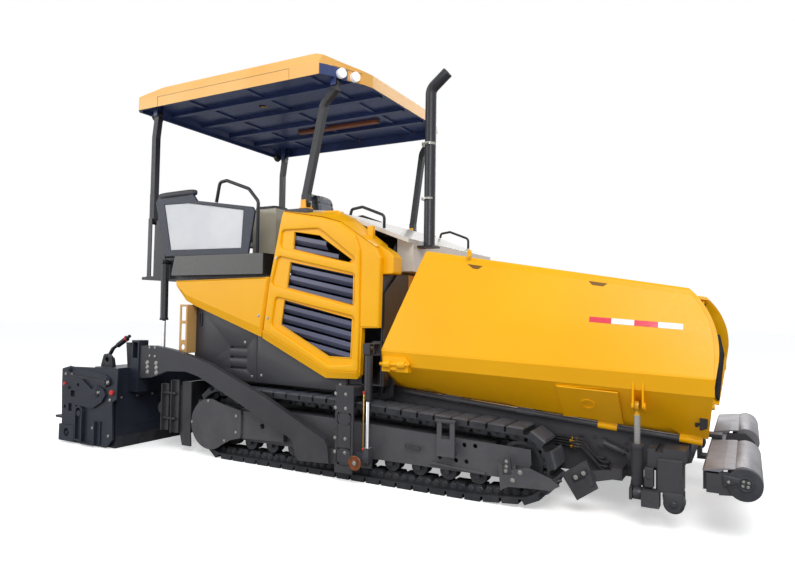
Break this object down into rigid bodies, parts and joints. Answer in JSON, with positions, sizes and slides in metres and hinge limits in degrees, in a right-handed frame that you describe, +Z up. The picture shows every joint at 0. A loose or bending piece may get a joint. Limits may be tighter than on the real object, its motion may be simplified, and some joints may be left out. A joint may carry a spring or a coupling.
{
  "type": "asphalt paver",
  "caption": "Tracked asphalt paver with a front hopper, folding canopy over the operator's platform, tow arms, spreading augers and an extending screed.",
  "frame": {"origin": "on the ground under the middle of the machine's overall box", "axes": "+X forward to the hopper, +Y to the machine's left, +Z up"},
  "size_m": [6.83, 3.184, 3.8],
  "materials": {
    "yellow": "satin",
    "canopy_cream": "satin",
    "charcoal": "satin",
    "dark_steel": "matte",
    "track_steel": "matte",
    "roller_grey": "satin",
    "rod_chrome": "polished",
    "black_rubber": "matte",
    "slate": "satin",
    "frosted": "frosted",
    "seat_black": "matte",
    "console_grey": "matte",
    "hood_grey": "satin",
    "beige": "satin",
    "lamp_white": "gloss"
  },
  "bodies": {
    "tractor": {"auger_mounts": "charcoal", "body_shell": "charcoal", "conveyors": "dark_steel", "engine": "dark_steel", "exhaust": "charcoal", "front_boxes": "charcoal", "grab_rails": "charcoal", "hood": "hood_grey", "hopper_bed": "yellow", "hoses": "black_rubber", "ladder_brackets": "beige", "level_barrels": "charcoal", "lower_panels": "charcoal", "main_frame": "charcoal", "platform": "charcoal", "post_feet": "charcoal", "rear_panels": "yellow", "seats": "seat_black", "shield_panes": "frosted", "shoulders": "yellow", "side_consoles": "console_grey", "side_shields": "charcoal", "tow_guides": "charcoal", "track_frames": "charcoal", "track_loop_left": "track_steel", "track_loop_right": "track_steel", "track_wheels": "dark_steel"},
    "wing_right": {"hopper_wing_right": "yellow", "wing_flap_right": "black_rubber"},
    "hopper_barrel_right": {"hopper_barrel_right": "charcoal"},
    "hopper_rod_right": {"hopper_rod_right": "rod_chrome"},
    "push_roller_right": {"push_roller_right": "roller_grey"},
    "screed_extension_right": {"screed_extension_right": "charcoal", "end_gate_right": "charcoal"},
    "auger_right": {"auger_right": "dark_steel"},
    "door_right": {"door_right": "yellow", "louvres_right": "slate"},
    "wing_left": {"hopper_wing_left": "yellow", "wing_flap_left": "black_rubber"},
    "hopper_barrel_left": {"hopper_barrel_left": "charcoal"},
    "hopper_rod_left": {"hopper_rod_left": "rod_chrome"},
    "push_roller_left": {"push_roller_left": "roller_grey"},
    "screed_extension_left": {"screed_extension_left": "charcoal", "end_gate_left": "charcoal"},
    "auger_left": {"auger_left": "dark_steel"},
    "door_left": {"door_left": "yellow", "louvres_left": "slate"},
    "push_beam": {"push_beam": "charcoal"},
    "tow_points": {"tow_points": "dark_steel"},
    "tow_hitches": {"tow_hitches": "dark_steel"},
    "screed": {"tow_arms": "charcoal", "screed_frame": "charcoal", "screed_sole": "dark_steel", "screed_walkway": "dark_steel"},
    "lift_barrels": {"lift_barrels": "charcoal"},
    "lift_rods": {"lift_rods": "rod_chrome"},
    "front_posts": {"front_posts": "charcoal"},
    "rear_posts": {"rear_posts": "charcoal"},
    "canopy_roof": {"canopy_roof": "canopy_cream", "head_lamps": "lamp_white"}
  },
  "joints": [
    {"name": "wing_right_fold", "type": "hinge", "parent": "tractor", "child": "wing_right", "pos_m": [1.5, -0.945, 0.67552], "axis": [0.997, 0, -0.0779], "range_deg": [0, 42]},
    {"name": "hopper_barrel_right_swing", "type": "hinge", "parent": "tractor", "child": "hopper_barrel_right", "pos_m": [2.676, -1.18, 0.215], "axis": [1, 0, 0], "range_deg": [0, 14.88]},
    {"name": "hopper_rod_right_slide", "type": "slide", "parent": "hopper_barrel_right", "child": "hopper_rod_right", "axis": [0, -0.0427, 0.9991], "range_m": [-0.2129, 0]},
    {"name": "wing_left_fold", "type": "hinge", "parent": "tractor", "child": "wing_left", "pos_m": [1.5, 0.945, 0.67552], "axis": [-0.997, 0, 0.0779], "range_deg": [0, 42]},
    {"name": "hopper_barrel_left_swing", "type": "hinge", "parent": "tractor", "child": "hopper_barrel_left", "pos_m": [2.676, 1.18, 0.215], "axis": [-1, 0, 0], "range_deg": [0, 14.88]},
    {"name": "hopper_rod_left_slide", "type": "slide", "parent": "hopper_barrel_left", "child": "hopper_rod_left", "axis": [0, 0.0427, 0.9991], "range_m": [-0.2129, 0]},
    {"name": "tow_point_level", "type": "slide", "parent": "tractor", "child": "tow_points", "axis": [0, 0, 1], "range_m": [0, 0.28]},
    {"name": "tow_hitch_follow", "type": "hinge", "parent": "tow_points", "child": "tow_hitches", "pos_m": [0.4, 0, 0.19], "axis": [0, 1, 0], "range_deg": [-4.79, 0]},
    {"name": "screed_lift", "type": "hinge", "parent": "tow_hitches", "child": "screed", "pos_m": [0.4, 0, 0.19], "axis": [0, 1, 0], "range_deg": [0, 6]},
    {"name": "screed_right_extend", "type": "slide", "parent": "screed", "child": "screed_extension_right", "axis": [0, -1, 0], "range_m": [0, 1.1]},
    {"name": "screed_left_extend", "type": "slide", "parent": "screed", "child": "screed_extension_left", "axis": [0, 1, 0], "range_m": [0, 1.1]},
    {"name": "lift_barrel_swing", "type": "hinge", "parent": "tractor", "child": "lift_barrels", "pos_m": [-1.92, 0, 1.885], "axis": [0, -1, 0], "range_deg": [0, 7.6]},
    {"name": "lift_rod_slide", "type": "slide", "parent": "lift_barrels", "child": "lift_rods", "axis": [0.0163, 0, -0.9999], "range_m": [-0.2323, 0]},
    {"name": "auger_right_spin", "type": "hinge", "parent": "tractor", "child": "auger_right", "pos_m": [-1.87, -0.6, 0.405], "axis": [0, 1, 0], "continuous": true},
    {"name": "auger_left_spin", "type": "hinge", "parent": "tractor", "child": "auger_left", "pos_m": [-1.87, 0.6, 0.405], "axis": [0, 1, 0], "continuous": true},
    {"name": "push_beam_swivel", "type": "hinge", "parent": "tractor", "child": "push_beam", "pos_m": [3.11, 0, 0.37], "axis": [0, 0, 1], "range_deg": [-3, 3]},
    {"name": "push_roller_right_spin", "type": "hinge", "parent": "push_beam", "child": "push_roller_right", "pos_m": [3.313, -0.76, 0.382], "axis": [0, 1, 0], "continuous": true},
    {"name": "door_right_swing", "type": "hinge", "parent": "tractor", "child": "door_right", "pos_m": [-0.607, -1.2, 1.5], "axis": [0, 0, -1], "range_deg": [0, 100]},
    {"name": "push_roller_left_spin", "type": "hinge", "parent": "push_beam", "child": "push_roller_left", "pos_m": [3.313, 0.76, 0.382], "axis": [0, 1, 0], "continuous": true},
    {"name": "door_left_swing", "type": "hinge", "parent": "tractor", "child": "door_left", "pos_m": [-0.607, 1.2, 1.5], "axis": [0, 0, 1], "range_deg": [0, 100]},
    {"name": "canopy_fold", "type": "hinge", "parent": "tractor", "child": "front_posts", "pos_m": [-0.232, 0, 2.402], "axis": [0, -1, 0], "range_deg": [0, 70]},
    {"name": "rear_post_follow", "type": "hinge", "parent": "tractor", "child": "rear_posts", "pos_m": [-2.262, 0, 2.345], "axis": [0, -1, 0], "range_deg": [0, 74.99]},
    {"name": "roof_follow", "type": "hinge", "parent": "front_posts", "child": "canopy_roof", "pos_m": [0.024, 0, 3.5], "axis": [0, 1, 0], "range_deg": [0, 61.38]}
  ],
  "couplings": [
    {"joint": "hopper_barrel_right_swing", "follows": "wing_right_fold", "ratio": 0.34235},
    {"joint": "hopper_rod_right_slide", "follows": "wing_right_fold", "m_per_rad": -0.28767},
    {"joint": "hopper_barrel_left_swing", "follows": "wing_left_fold", "ratio": 0.34235},
    {"joint": "hopper_rod_left_slide", "follows": "wing_left_fold", "m_per_rad": -0.28767},
    {"joint": "tow_hitch_follow", "follows": "tow_point_level", "rad_per_m": -0.2924},
    {"joint": "lift_barrel_swing", "follows": "screed_lift", "ratio": 1.2495},
    {"joint": "lift_rod_slide", "follows": "screed_lift", "m_per_rad": -2.1994},
    {"joint": "rear_post_follow", "follows": "canopy_fold", "ratio": 1.0684},
    {"joint": "roof_follow", "follows": "canopy_fold", "ratio": 0.87407}
  ]
}
